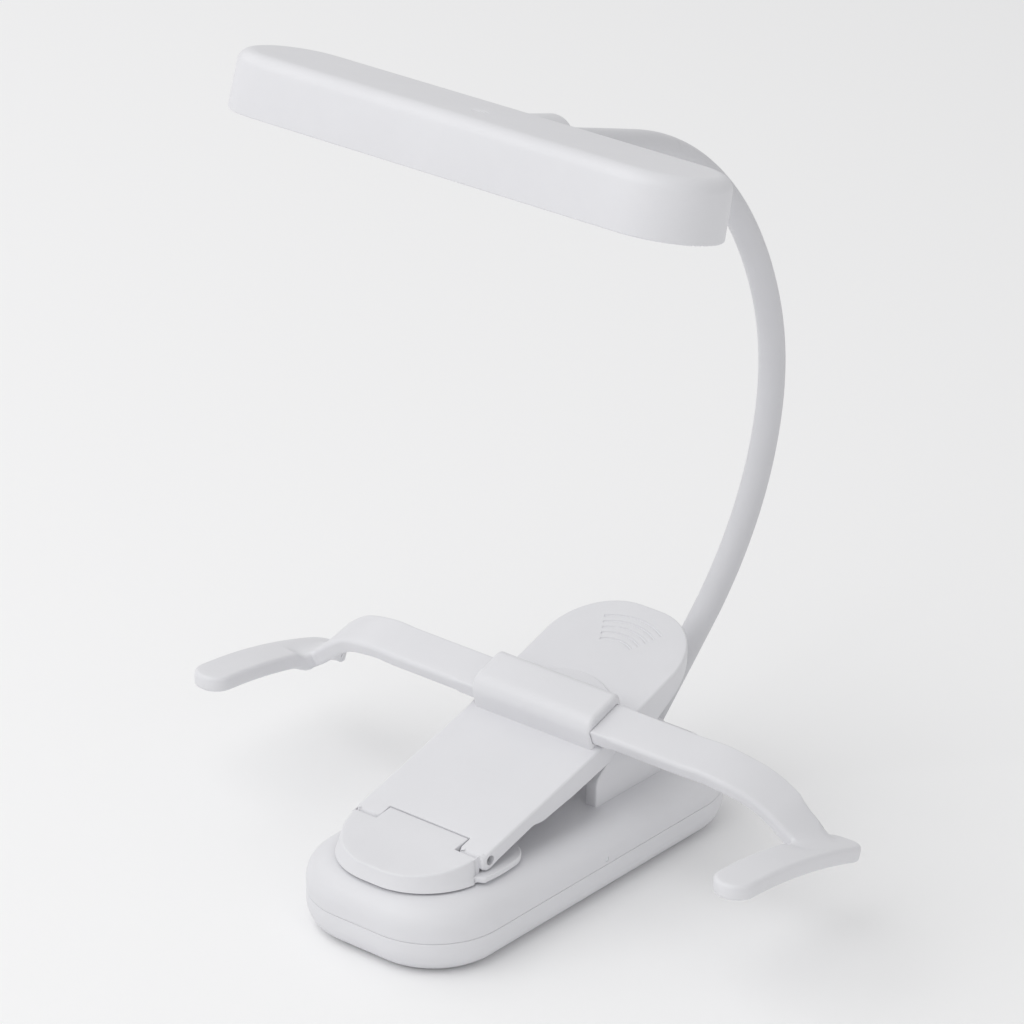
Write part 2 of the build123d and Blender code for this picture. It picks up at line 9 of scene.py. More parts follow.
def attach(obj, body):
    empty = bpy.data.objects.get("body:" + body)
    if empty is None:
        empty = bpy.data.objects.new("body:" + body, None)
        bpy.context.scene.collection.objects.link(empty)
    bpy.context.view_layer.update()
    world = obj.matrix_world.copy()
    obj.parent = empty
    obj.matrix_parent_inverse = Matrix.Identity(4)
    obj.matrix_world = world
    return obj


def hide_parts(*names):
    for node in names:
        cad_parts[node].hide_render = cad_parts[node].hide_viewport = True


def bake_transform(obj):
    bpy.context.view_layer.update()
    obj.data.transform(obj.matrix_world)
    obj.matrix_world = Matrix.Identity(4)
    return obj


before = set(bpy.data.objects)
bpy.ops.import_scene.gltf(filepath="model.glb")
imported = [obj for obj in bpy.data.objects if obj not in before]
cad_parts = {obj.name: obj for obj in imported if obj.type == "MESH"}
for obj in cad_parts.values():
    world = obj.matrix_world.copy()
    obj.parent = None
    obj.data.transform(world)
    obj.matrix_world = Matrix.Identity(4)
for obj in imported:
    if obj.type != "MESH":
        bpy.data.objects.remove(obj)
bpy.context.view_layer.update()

MM = 0.001

# Driving sizes, in millimetres, in the frame of the CAD model.
BASE_L, BASE_W, BASE_H, BASE_R, SEAM, WALL = 100.0, 45.0, 15.4, 16.3, 7.6, 1.8
EDGE_DOWN, UPPER_EDGE_OUT, LOWER_EDGE_OUT = 5.4, 6.6, 5.6
SCREW_PLACES = [(x, y) for x in (-14, 14) for y in (-35, 35)]
USB_W, USB_H, USB_R, USB_Z, USB_GAP = 9.0, 3.2, 1.45, 7.6, 0.2
LENS_Y, LENS_Z = 1.0, 8.9
KINK_Y, KINK_Z, FRONT_SLOPE, REAR_SLOPE = 4.0, 29.8, math.radians(14.5), math.radians(18.5)
LEVER_W, TAB_END, TAB_R, PLATE_T = 16.95, 42.9, 14.4, 1.9
PIVOT_Y, PIVOT_Z = 17.0, 27.0
JAW_Y, JAW_Z, KNUCKLE_W, NOSE_Y = -29.0, 19.4, 10.4, -31.4
TOE_W, TOE_FRONT, TOE_BACK, TOE_R, TOE_FLARE = 16.0, -45.3, -32.1, 14.0, 1.1
COLLAR_HALF, COLLAR_FRONT, COLLAR_REAR, COLLAR_H = 15.6, 0.3, 11.7, 6.8
APRON_W, APRON_R, APRON_REACH, APRON_START = 10.5, 15.0, 18.2, 6.0
ARM_FRONT, ARM_WIDTH, ARM_FLOOR, ARM_THICK, ARM_GAP = 1.2, 9.3, 1.1, 3.42, 0.16
BEND_X, BEND_R, BEND_A, BEND_SKEW = 41.4, 25.8, math.radians(36.35), -0.038
FOOT_X, FOOT_HALF, FOOT_TOE_IN = 68.37, 4.48, 0.007
FOOT_Z, FOOT_FALL, FOOT_BOW = 26.97, 0.19, 0.004
FOOT_FRONT, FOOT_REAR = -20.8, 22.25
BLEND_FROM, BLEND_TO = 59.2, 70.9
HEAD_L, HEAD_W, HEAD_H, HEAD_R, HEAD_WALL, HEAD_TILT = 116.0, 26.0, 12.3, 12.4, 1.6, math.radians(-15.7)
HEAD_DRAFT, HEAD_EDGE_OUT, HEAD_EDGE_DOWN = math.tan(math.radians(1.7)), 3.4, 2.8
BOSS_Z, BOSS_START, GRIP_Y = 5.55, 12.3, 27.5
NECK_R, LINK = 2.85, 23.4
NECK_START = (43.3, 17.7, 43.8)
NECK_TURNS = (0.5, 17.0, 19.5, 24.0, 17.0, 19.0, 21.5, 0.8)


# ---- mesh tools -------------------------------------------------------------------------
def make_object(name, points, faces):
    mesh = bpy.data.meshes.new(name)
    mesh.from_pydata([tuple(p) for p in points], [], faces)
    bm = bmesh.new()
    bm.from_mesh(mesh)
    bmesh.ops.remove_doubles(bm, verts=bm.verts, dist=0.002)
    bmesh.ops.dissolve_degenerate(bm, edges=bm.edges, dist=0.001)
    bmesh.ops.recalc_face_normals(bm, faces=bm.faces)
    bm.to_mesh(mesh)
    bm.free()
    mesh.transform(Matrix.Scale(MM, 4))
    obj = bpy.data.objects.new(name, mesh)
    bpy.context.scene.collection.objects.link(obj)
    return obj


def shade(obj, angle=32):
    mesh = obj.data
    mesh.polygons.foreach_set("use_smooth", [True] * len(mesh.polygons))
    mesh.set_sharp_from_angle(angle=math.radians(angle))
    return obj


def inset(outline, depth):
    """The closed outline moved inwards by depth, a number or one number per point."""
    outline = np.asarray(outline, float)
    ahead = np.roll(outline, -1, 0) - outline
    ahead /= np.linalg.norm(ahead, axis=1)[:, None] + 1e-12
    behind = np.roll(ahead, 1, 0)
    normal = np.stack([-ahead[:, 1] - behind[:, 1], ahead[:, 0] + behind[:, 0]], 1)
    normal /= np.linalg.norm(normal, axis=1)[:, None] + 1e-12
    turn = (-ahead[:, 1] * normal[:, 0] + ahead[:, 0] * normal[:, 1])
    return outline + normal * (np.broadcast_to(depth, len(outline)) / np.maximum(turn, 0.6))[:, None]


def inside(points, outline):
    """Which points lie inside the closed outline."""
    x, y = points[:, 0][:, None], points[:, 1][:, None]
    x0, y0 = outline[:, 0][None], outline[:, 1][None]
    x1, y1 = np.roll(outline[:, 0], -1)[None], np.roll(outline[:, 1], -1)[None]
    crosses = (y0 > y) != (y1 > y)
    at = x0 + (y - y0) * (x1 - x0) / np.where(y1 == y0, 1e-9, y1 - y0)
    return (np.sum(crosses & (x < at), 1) % 2) == 1


def cap(outline, height, spacing):
    """Triangles that fill an outline, with points on a grid inside it, lifted to height(x, y)."""
    lo, hi = outline.min(0), outline.max(0)
    columns = np.arange(lo[0] + spacing / 2, hi[0], spacing)
    rows = np.arange(lo[1] + spacing / 2, hi[1], spacing)
    grid = np.array([(x, y) for x in columns for y in rows]).reshape(-1, 2)
    if len(grid):
        grid = grid[inside(grid, inset(outline, spacing * 0.45))]
    flat = [Vector(p) for p in outline] + [Vector(p) for p in grid]
    ring = list(range(len(outline)))
    spots, _, tris, _, _, _ = geometry.delaunay_2d_cdt(flat, [], [ring], 1, 1e-5)
    xy = np.array([tuple(p) for p in spots])
    z = height(xy[:, 0], xy[:, 1]) * np.ones(len(xy))
    return np.column_stack([xy, z]), [list(t) for t in tris]


def level(z):
    return lambda x, y: np.full(np.shape(x), float(z))


def plate(name, rings, top, bottom, spacing=2.0):
    """A solid skinned over closed rings of equal length, capped at both ends.

    Each ring is an outline and a height function; top and bottom are the heights of the caps."""
    points, faces = [], []
    count = len(rings[0][0])
    for outline, height in rings:
        z = height(outline[:, 0], outline[:, 1]) * np.ones(count)
        points.extend(np.column_stack([outline, z]))
    for k in range(len(rings) - 1):
        for i in range(count):
            j = (i + 1) % count
            faces.append([k * count + i, k * count + j, (k + 1) * count + j, (k + 1) * count + i])
    for (outline, _), height in ((rings[0], top), (rings[-1], bottom)):
        spots, tris = cap(np.asarray(outline), height, spacing)
        shift = len(points)
        points.extend(spots)
        faces.extend([[i + shift for i in t] for t in tris])
    return make_object(name, points, faces)


def rounded_rings(outline, top, bottom, top_r, bottom_r, steps=6):
    """Rings from the top face over a rounded edge, down the side and under the lower edge.

    top_r and bottom_r may be one radius or one per point."""
    rings = []
    for k in range(steps, -1, -1):
        a = math.pi / 2 * k / steps
        rings.append((inset(outline, top_r * (1 - math.cos(a))),
                      lambda x, y, a=a: top(x, y) - top_r * (1 - math.sin(a))))
    for k in range(steps + 1):
        a = math.pi / 2 * k / steps
        rings.append((inset(outline, bottom_r * (1 - math.cos(a))),
                      lambda x, y, a=a: bottom(x, y) + bottom_r * (1 - math.sin(a))))
    return rings


def rounded_rect(width, length, radius, centre=(0, 0), corner_steps=14, side_step=2.0):
    """Closed outline, anticlockwise, with points along its sides as well as round its corners."""
    points = []
    half_w, half_l = width / 2 - radius, length / 2 - radius
    corners = ((half_w, -half_l, -90), (half_w, half_l, 0), (-half_w, half_l, 90), (-half_w, -half_l, 180))
    for cx, cy, start in corners:
        for k in range(corner_steps + 1):
            a = math.radians(start + 90 * k / corner_steps)
            points.append((cx + radius * math.cos(a), cy + radius * math.sin(a)))
    return resample_straights(np.array(points) + np.array(centre), side_step)


def resample_straights(points, step):
    """Adds points to any edge of a closed outline that is longer than step."""
    out = []
    for a, b in zip(points, np.roll(points, -1, 0)):
        pieces = max(1, int(round(np.linalg.norm(b - a) / step)))
        out.extend(a + (b - a) * k / pieces for k in range(pieces))
    return np.array(out)


def fillet_outline(corners, steps=8, side_step=1.5):
    """Closed outline from corners (x, y, radius), each rounded by a tangent arc."""
    out = []
    count = len(corners)
    for i in range(count):
        p = np.array(corners[i][:2], float)
        before = np.array(corners[i - 1][:2], float) - p
        after = np.array(corners[(i + 1) % count][:2], float) - p
        radius = corners[i][2]
        before /= np.linalg.norm(before)
        after /= np.linalg.norm(after)
        half = math.acos(max(-1.0, min(1.0, float(before @ after)))) / 2
        if radius <= 0 or half > math.radians(89.5):
            out.append(p)
            continue
        reach = radius / math.tan(half)
        middle = (before + after) / np.linalg.norm(before + after)
        centre = p + middle * radius / math.sin(half)
        start, end = p + before * reach - centre, p + after * reach - centre
        a0, a1 = math.atan2(start[1], start[0]), math.atan2(end[1], end[0])
        sweep = (a1 - a0 + math.pi) % (2 * math.pi) - math.pi
        for k in range(steps + 1):
            a = a0 + sweep * k / steps
            out.append(centre + radius * np.array([math.cos(a), math.sin(a)]))
    return resample_straights(np.array(out), side_step)


def turn_to(obj, matrix):
    """Moves a finished mesh by a matrix whose translation is in millimetres."""
    placed = matrix.copy()
    placed.translation = placed.translation * MM
    obj.data.transform(placed)
    if placed.determinant() < 0:
        obj.data.flip_normals()
    obj.data.update()
    return obj


def axes_matrix(x_axis, y_axis, z_axis, origin=(0, 0, 0)):
    m = Matrix((x_axis, y_axis, z_axis)).transposed().to_4x4()
    m.translation = Vector(origin)
    return m


def lathe(name, profile, origin, direction, segments=40):
    """A solid of revolution: profile is (distance along the axis, radius), closed at both ends."""
    aim = Vector(direction).normalized()
    turn = aim.to_track_quat("Z", "Y").to_matrix()
    points, faces = [], []
    for along, radius in profile:
        for i in range(segments):
            a = 2 * math.pi * i / segments
            local = Vector((radius * math.cos(a), radius * math.sin(a), along))
            points.append(turn @ local + Vector(origin))
    for k in range(len(profile) - 1):
        for i in range(segments):
            j = (i + 1) % segments
            faces.append([k * segments + i, k * segments + j, (k + 1) * segments + j, (k + 1) * segments + i])
    faces.append(list(range(segments))[::-1])
    faces.append([(len(profile) - 1) * segments + i for i in range(segments)])
    return make_object(name, points, faces)


def tube(name, centres, radius, segments=20, closed_ends=True):
    """A round tube along points, with a section that doesn't twist."""
    centres = [Vector(p) for p in centres]
    points, faces = [], []
    normal = None
    for i, centre in enumerate(centres):
        ahead = (centres[min(i + 1, len(centres) - 1)] - centres[max(i - 1, 0)]).normalized()
        if normal is None:
            normal = ahead.orthogonal().normalized()
        normal = (normal - ahead * normal.dot(ahead)).normalized()
        side = ahead.cross(normal)
        for k in range(segments):
            a = 2 * math.pi * k / segments
            points.append(centre + radius * (math.cos(a) * normal + math.sin(a) * side))
    for i in range(len(centres) - 1):
        for k in range(segments):
            j = (k + 1) % segments
            faces.append([i * segments + k, i * segments + j, (i + 1) * segments + j, (i + 1) * segments + k])
    if closed_ends:
        faces.append(list(range(segments))[::-1])
        faces.append([(len(centres) - 1) * segments + k for k in range(segments)])
    return make_object(name, points, faces)


def cut(obj, tools):
    """Takes the tools away from a solid, then deletes them."""
    for tool in tools:
        modifier = obj.modifiers.new("cut", "BOOLEAN")
        modifier.operation = "DIFFERENCE"
        modifier.solver = "EXACT"
        modifier.object = tool
        bpy.context.view_layer.update()
        evaluated = obj.evaluated_get(bpy.context.evaluated_depsgraph_get())
        mesh = bpy.data.meshes.new_from_object(evaluated)
        obj.modifiers.clear()
        old = obj.data
        obj.data = mesh
        bpy.data.meshes.remove(old)
        bpy.data.objects.remove(tool)
    return obj


def side_name(side):
    return "right" if side > 0 else "left"


def finish_piece(obj, body, material, replaces=(), angle=32):
    shade(obj, angle)
    obj.data.materials.clear()
    obj.data.materials.append(material)
    if replaces:
        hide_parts(*replaces)
    if body:
        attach(obj, body)
    return obj


# ---- materials --------------------------------------------------------------------------
def new_material(name):
    material = bpy.data.materials.new(name)
    material.use_nodes = True
    nodes = material.node_tree.nodes
    shader = next(n for n in nodes if n.type == "BSDF_PRINCIPLED")
    return material, nodes, material.node_tree.links, shader


def noise(nodes, links, place, scale, detail=3.0, roughness=0.5):
    node = nodes.new("ShaderNodeTexNoise")
    node.inputs["Scale"].default_value = scale
    node.inputs["Detail"].default_value = detail
    node.inputs["Roughness"].default_value = roughness
    links.new(place.outputs["Object"], node.inputs["Vector"])
    return node


def spread(nodes, links, source, low, high):
    """Maps a noise's middle range onto low..high."""
    node = nodes.new("ShaderNodeMapRange")
    node.inputs["From Min"].default_value = 0.3
    node.inputs["From Max"].default_value = 0.7
    node.inputs["To Min"].default_value = low
    node.inputs["To Max"].default_value = high
    links.new(source, node.inputs["Value"])
    return node.outputs["Result"]


def tint(nodes, links, source, colour_a, colour_b):
    node = nodes.new("ShaderNodeMix")
    node.data_type = "RGBA"
    links.new(source, node.inputs["Factor"])
    node.inputs["A"].default_value = (*colour_a, 1)
    node.inputs["B"].default_value = (*colour_b, 1)
    return node.outputs["Result"]


def moulded(name, colour, rough, grain=3200.0, grain_depth=0.000012, tone=0.02, sheen=0.0):
    """Moulded plastic or rubber: a fine spark-eroded grain, faint flow marks and uneven gloss."""
    material, nodes, links, shader = new_material(name)
    place = nodes.new("ShaderNodeTexCoord")
    flow = noise(nodes, links, place, 38.0, 4.0, 0.55)
    fine = noise(nodes, links, place, grain, 2.0, 0.6)
    dark = tuple(c * (1 - tone) for c in colour)
    light = tuple(min(1.0, c * (1 + tone * 0.6)) for c in colour)
    links.new(tint(nodes, links, spread(nodes, links, flow.outputs["Fac"], 0.0, 1.0), dark, light),
              shader.inputs["Base Color"])
    blotch = noise(nodes, links, place, 120.0, 3.0)
    gloss = spread(nodes, links, blotch.outputs["Fac"], rough - 0.04, rough + 0.05)
    links.new(gloss, shader.inputs["Roughness"])
    wave = nodes.new("ShaderNodeMath")
    wave.operation = "MULTIPLY_ADD"
    links.new(flow.outputs["Fac"], wave.inputs[0])
    wave.inputs[1].default_value = 0.6
    links.new(fine.outputs["Fac"], wave.inputs[2])
    bump = nodes.new("ShaderNodeBump")
    bump.inputs["Strength"].default_value = 0.55
    bump.inputs["Distance"].default_value = grain_depth
    links.new(wave.outputs["Value"], bump.inputs["Height"])
    links.new(bump.outputs["Normal"], shader.inputs["Normal"])
    shader.inputs["IOR"].default_value = 1.47
    if sheen:
        shader.inputs["Sheen Weight"].default_value = sheen
    return material


def metal(name, colour, rough, stretch=(1, 1, 1), scale=900.0):
    """Drawn or plated metal: fine streaks in its gloss and colour."""
    material, nodes, links, shader = new_material(name)
    place = nodes.new("ShaderNodeTexCoord")
    mapping = nodes.new("ShaderNodeMapping")
    mapping.inputs["Scale"].default_value = stretch
    links.new(place.outputs["Object"], mapping.inputs["Vector"])
    streak = nodes.new("ShaderNodeTexNoise")
    streak.inputs["Scale"].default_value = scale
    streak.inputs["Detail"].default_value = 4.0
    links.new(mapping.outputs["Vector"], streak.inputs["Vector"])
    dark = tuple(c * 0.86 for c in colour)
    links.new(tint(nodes, links, spread(nodes, links, streak.outputs["Fac"], 0.0, 1.0), dark, colour),
              shader.inputs["Base Color"])
    gloss = spread(nodes, links, streak.outputs["Fac"], rough * 0.7, rough * 1.3)
    links.new(gloss, shader.inputs["Roughness"])
    bump = nodes.new("ShaderNodeBump")
    bump.inputs["Strength"].default_value = 0.3
    bump.inputs["Distance"].default_value = 0.00001
    links.new(streak.outputs["Fac"], bump.inputs["Height"])
    links.new(bump.outputs["Normal"], shader.inputs["Normal"])
    shader.inputs["Metallic"].default_value = 1.0
    return material


def board_material(name, mask, copper, scale):
    """Solder mask over tracks, which show as slightly raised lighter lines."""
    material, nodes, links, shader = new_material(name)
    place = nodes.new("ShaderNodeTexCoord")
    tracks = nodes.new("ShaderNodeTexBrick")
    tracks.inputs["Scale"].default_value = scale
    tracks.inputs["Mortar Size"].default_value = 0.06
    tracks.inputs["Color1"].default_value = (*mask, 1)
    tracks.inputs["Color2"].default_value = (*[c * 0.93 for c in mask], 1)
    tracks.inputs["Mortar"].default_value = (*copper, 1)
    links.new(place.outputs["Object"], tracks.inputs["Vector"])
    links.new(tracks.outputs["Color"], shader.inputs["Base Color"])
    bump = nodes.new("ShaderNodeBump")
    bump.inputs["Strength"].default_value = 0.4
    bump.inputs["Distance"].default_value = 0.00003
    links.new(tracks.outputs["Fac"], bump.inputs["Height"])
    links.new(bump.outputs["Normal"], shader.inputs["Normal"])
    shader.inputs["Roughness"].default_value = 0.35
    return material


WHITE = (0.74, 0.74, 0.765)
SHELL = moulded("satin_white_shell", WHITE, 0.42)
LEVER = moulded("satin_white_lever", WHITE, 0.40)
# The sleeve's grey is partly its matt material and partly painted shade: its colour is darkened below the
# shell's white to stand in for the shade that falls on the neck.
SHADED_SLEEVE = moulded("matt_white_sleeve_painted_shade", (0.65, 0.65, 0.675), 0.55, grain=2200.0, grain_depth=0.00001, sheen=0.15)
SILICONE = moulded("jaw_silicone", (0.62, 0.62, 0.64), 0.68, grain=1500.0, grain_depth=0.00003, sheen=0.2)
CLEAR = moulded("indicator_plastic", (0.78, 0.80, 0.82), 0.15, tone=0.01)
LED_FACE = moulded("led_phosphor", (0.80, 0.62, 0.20), 0.35, grain=9000.0, grain_depth=0.00002,
                   tone=0.08)
PIN_STEEL = metal("drawn_pin_steel", (0.42, 0.42, 0.43), 0.32, stretch=(0.1, 1, 1))
SPRING_STEEL = metal("spring_wire_steel", (0.55, 0.55, 0.57), 0.22)
SCREW_STEEL = metal("plated_screw_steel", (0.48, 0.48, 0.50), 0.30)
USB_METAL = metal("drawn_socket_steel", (0.60, 0.60, 0.62), 0.25, stretch=(1, 0.1, 1))
FOIL = metal("laminated_cell_foil", (0.66, 0.67, 0.69), 0.30, scale=300.0)
GOLD = metal("plated_sensor_metal", (0.80, 0.62, 0.32), 0.28)
GREEN_BOARD = board_material("green_solder_mask", (0.02, 0.16, 0.06), (0.10, 0.34, 0.14), 420.0)
WHITE_BOARD = board_material("white_solder_mask", (0.80, 0.80, 0.78), (0.66, 0.66, 0.63), 300.0)


def diffuser_material():
    """Milky light diffuser: translucent, with a fine frosted texture."""
    material, nodes, links, shader = new_material("frosted_diffuser")
    place = nodes.new("ShaderNodeTexCoord")
    frost = noise(nodes, links, place, 2600.0, 2.0)
    cloud = noise(nodes, links, place, 30.0, 3.0)
    links.new(tint(nodes, links, spread(nodes, links, cloud.outputs["Fac"], 0, 1), (0.84, 0.84, 0.81),
                   (0.88, 0.88, 0.86)), shader.inputs["Base Color"])
    bump = nodes.new("ShaderNodeBump")
    bump.inputs["Strength"].default_value = 0.5
    bump.inputs["Distance"].default_value = 0.00002
    links.new(frost.outputs["Fac"], bump.inputs["Height"])
    links.new(bump.outputs["Normal"], shader.inputs["Normal"])
    shader.inputs["Roughness"].default_value = 0.5
    shader.inputs["Transmission Weight"].default_value = 0.25
    shader.inputs["IOR"].default_value = 1.49
    return material


DIFFUSER = diffuser_material()


# ---- base -------------------------------------------------------------------------------
def base_ring(depth):
    return rounded_rect(BASE_W - 2 * depth, BASE_L - 2 * depth, BASE_R - depth, corner_steps=20)


def soft_edge(out, z_face, side, steps=12):
    """Rings of a soft elliptical edge, from a flat face (side 1: top, -1: bottom) to the upright wall."""
    rings = []
    for k in range(steps, -1, -1):
        a = math.pi / 2 * k / steps
        ring = base_ring(out * (1 - math.cos(a) ** 0.92))
        rings.append((ring, level(z_face - side * EDGE_DOWN * (1 - math.sin(a)))))
    return rings


def seam_rings(side, gap):
    """Rings of the shallow groove where the two halves meet, for the upper (1) or lower (-1) half."""
    groove = ((0.0, 0.32), (0.03, 0.16), (0.10, 0.06), (0.22, gap), (WALL, gap))
    return [(base_ring(depth), level(SEAM + side * rise)) for depth, rise in groove]


def usb_cutter(grow):
    outline = rounded_rect(USB_W + 2 * grow, USB_H + 2 * grow, USB_R + grow, side_step=3)
    tool = plate("usb_cut", [(outline, level(0)), (outline, level(12))], level(0), level(12), 3.0)
    return turn_to(tool, axes_matrix((1, 0, 0), (0, 0, 1), (0, 1, 0), (0, BASE_L / 2 - 9, USB_Z)))


def ear_piece(side):
    corners = [(7.1, 13.5, 0), (29.6, 13.5, 0), (20.6, 28.4, 3.6), (17.0, 31.2, 3.4), (13.4, 29.6, 2.6),
               (11.4, 24.8, 2.0), (7.1, 21.5, 4.0)]
    outline = fillet_outline(corners, steps=8, side_step=1.2)
    rings = rounded_rings(outline, level(14.6), level(11.7), 0.35, 0.35, steps=3)
    ear = plate(f"ear_{side_name(side)}", rings, level(14.6), level(11.7), 3.0)
    return turn_to(ear, axes_matrix((0, 1, 0), (0, 0, 1), (side, 0, 0)))


def neck_frames():
    y, z, angle = NECK_START
    frames = [(y, z, angle)]
    for turn in NECK_TURNS:
        chord = LINK * math.sin(math.radians(turn / 2)) / math.radians(turn / 2)
        aim = math.radians(angle + turn / 2)
        y, z, angle = y + chord * math.cos(aim), z + chord * math.sin(aim), angle + turn
        frames.append((y, z, angle))
    return frames


NECK = neck_frames()


def neck_point(travel):
    """A point of the neck's centre line, by its distance from the first joint; straight beyond both ends."""
    total = LINK * len(NECK_TURNS)
    index = int(min(max(travel // LINK, 0), len(NECK_TURNS) - 1))
    y, z, angle = NECK[index]
    s = travel - index * LINK
    if travel < 0:
        return Vector((0, y + s * math.cos(math.radians(angle)), z + s * math.sin(math.radians(angle))))
    if travel > total:
        y, z, angle = NECK[-1]
        s = travel - total
        return Vector((0, y + s * math.cos(math.radians(angle)), z + s * math.sin(math.radians(angle))))
    turn = math.radians(NECK_TURNS[index] * s / LINK)
    chord = s if abs(turn) < 1e-6 else s * math.sin(turn / 2) / (turn / 2)
    aim = math.radians(angle) + turn / 2
    return Vector((0, y + chord * math.cos(aim), z + chord * math.sin(aim)))


def neck_boss():
    """The flared collar on the base that the neck comes out of."""
    start = neck_point(-7.0)
    profile = [(0, 7.4), (0.8, 6.7), (1.8, 5.7), (3.0, 5.1), (5.2, 4.75), (6.1, 4.5), (6.45, 4.1), (6.6, 3.4),
               (6.6, 3.0), (2.0, 3.0)]
    return lathe("neck_boss", profile, start, neck_point(0.0) - start, 48)


def base_screw(number, x, y):
    profile = [(0, 1.75), (0.25, 2.02), (0.6, 2.02), (1.35, 1.0), (6.0, 0.8), (9.0, 0.35)]
    screw = lathe(f"base_screw_{number + 1}", profile, (x, y, 0.55), (0, 0, 1), 32)
    outline = rounded_rect(2.5, 0.5, 0.2, side_step=2)
    slots = []
    for turn in (0, 90):
        bar = plate("bar", [(outline, level(0)), (outline, level(1))], level(0), level(1), 2.0)
        bar.data.transform(Matrix.Rotation(math.radians(turn + 30 * number), 4, "Z"))
        slots.append(turn_to(bar, Matrix.Translation((x, y, 0.1))))
    return cut(screw, slots)


def build_base():
    rings = soft_edge(UPPER_EDGE_OUT, BASE_H, 1) + seam_rings(1, 0.02)
    rings += [(base_ring(WALL), level(BASE_H - 5.2)), (base_ring(WALL + 3.6), level(BASE_H - WALL))]
    upper = plate("base_upper_casing", rings, level(BASE_H), level(BASE_H - WALL), 4.0)
    dot = lathe("dot_cut", [(0, 0.55), (6, 0.55)], (19, LENS_Y, LENS_Z), (1, 0, 0), 20)
    cut(upper, [usb_cutter(USB_GAP), dot])
    finish_piece(upper, "base", SHELL, ["base_upper_shell"], 28)
    for side in (1, -1):
        finish_piece(ear_piece(side), "base", SHELL)
    finish_piece(neck_boss(), "base", SHELL, ["neck_base_ferrule"])

    rings = soft_edge(LOWER_EDGE_OUT, 0.0, -1) + seam_rings(-1, 0.01)
    rings += [(base_ring(WALL), level(5.4)), (base_ring(WALL + 3.4), level(WALL))]
    lower = plate("base_lower_casing", rings, level(0), level(WALL), 4.0)
    well = [(0, 2.55), (0.35, 2.3), (1.62, 2.3)]
    wells = [lathe("well", well, (x, y, -0.01), (0, 0, 1), 32) for x, y in SCREW_PLACES]
    cut(lower, [usb_cutter(USB_GAP)] + wells)
    finish_piece(lower, "base", SHELL, ["base_lower_shell"], 28)

    for number, (x, y) in enumerate(SCREW_PLACES):
        replaced = ["base_screws"] if number == 0 else ()
        finish_piece(base_screw(number, x, y), "base", SCREW_STEEL, replaced)
    profile = [(0, 0.52), (2.46, 0.52), (2.56, 0.44), (2.58, 0.2)]
    lens = lathe("indicator_window", profile, (19.9, LENS_Y, LENS_Z), (1, 0, 0), 20)
    finish_piece(lens, "base", CLEAR, ["indicator_lens"])


# ---- clip lever -------------------------------------------------------------------------
def lever_top(x, y):
    """The lever's upper surface: two slopes with a soft bend between them."""
    x, y = np.asarray(x, float), np.asarray(y, float)
    gap, soft = y - KINK_Y, 3.0
    mean = (math.tan(REAR_SLOPE) + math.tan(FRONT_SLOPE)) / 2
    half = (math.tan(REAR_SLOPE) - math.tan(FRONT_SLOPE)) / 2
    return KINK_Z + mean * gap + half * (np.sqrt(gap ** 2 + soft ** 2) - soft * 0.4) + 0.0 * x


# Points (y, z) of the skirt's lower edge: the knuckle, the long rise, the pivot lug, and up to the tab.
SKIRT = [(-31.5, 17.46), (-29.0, 17.46), (-26.8, 18.3), (-16.2, 21.35), (-15.2, 21.55), (-13.6, 21.25),
         (-12.5, 21.25), (-3.4, 23.0), (8.6, 26.0), (10.4, 28.1), (12.6, 28.1), (14.0, 27.0), (15.0, 26.0),
         (16.0, 25.2), (17.0, 24.5), (18.5, 24.3), (20.0, 25.5), (22.0, 28.0), (24.0, 29.8), (27.5, 31.9),
         (31.5, 34.3), (36.0, 36.8), (39.0, 38.0), (43.0, 39.4)]


def skirt_z(x, y):
    """Lower edge of the lever's skirt, a smooth line through the points above."""
    knots_y, knots_z = zip(*SKIRT)
    fine = np.linspace(knots_y[0], knots_y[-1], 600)
    line = np.interp(fine, knots_y, knots_z)
    kernel = np.hanning(13)
    padded = np.pad(line, 6, mode="edge")
    line = np.convolve(padded, kernel / kernel.sum(), "valid")
    return np.interp(y, fine, line) + 0.0 * np.asarray(x, float)


def lever_outline():
    notch = KNUCKLE_W + 0.15
    return fillet_outline([(notch, NOSE_Y, 0.3), (LEVER_W, NOSE_Y, 0.5), (LEVER_W, TAB_END, TAB_R),
                           (-LEVER_W, TAB_END, TAB_R), (-LEVER_W, NOSE_Y, 0.5), (-notch, NOSE_Y, 0.3),
                           (-notch, -27.55, 0.25), (notch, -27.55, 0.25)], steps=16, side_step=0.9)


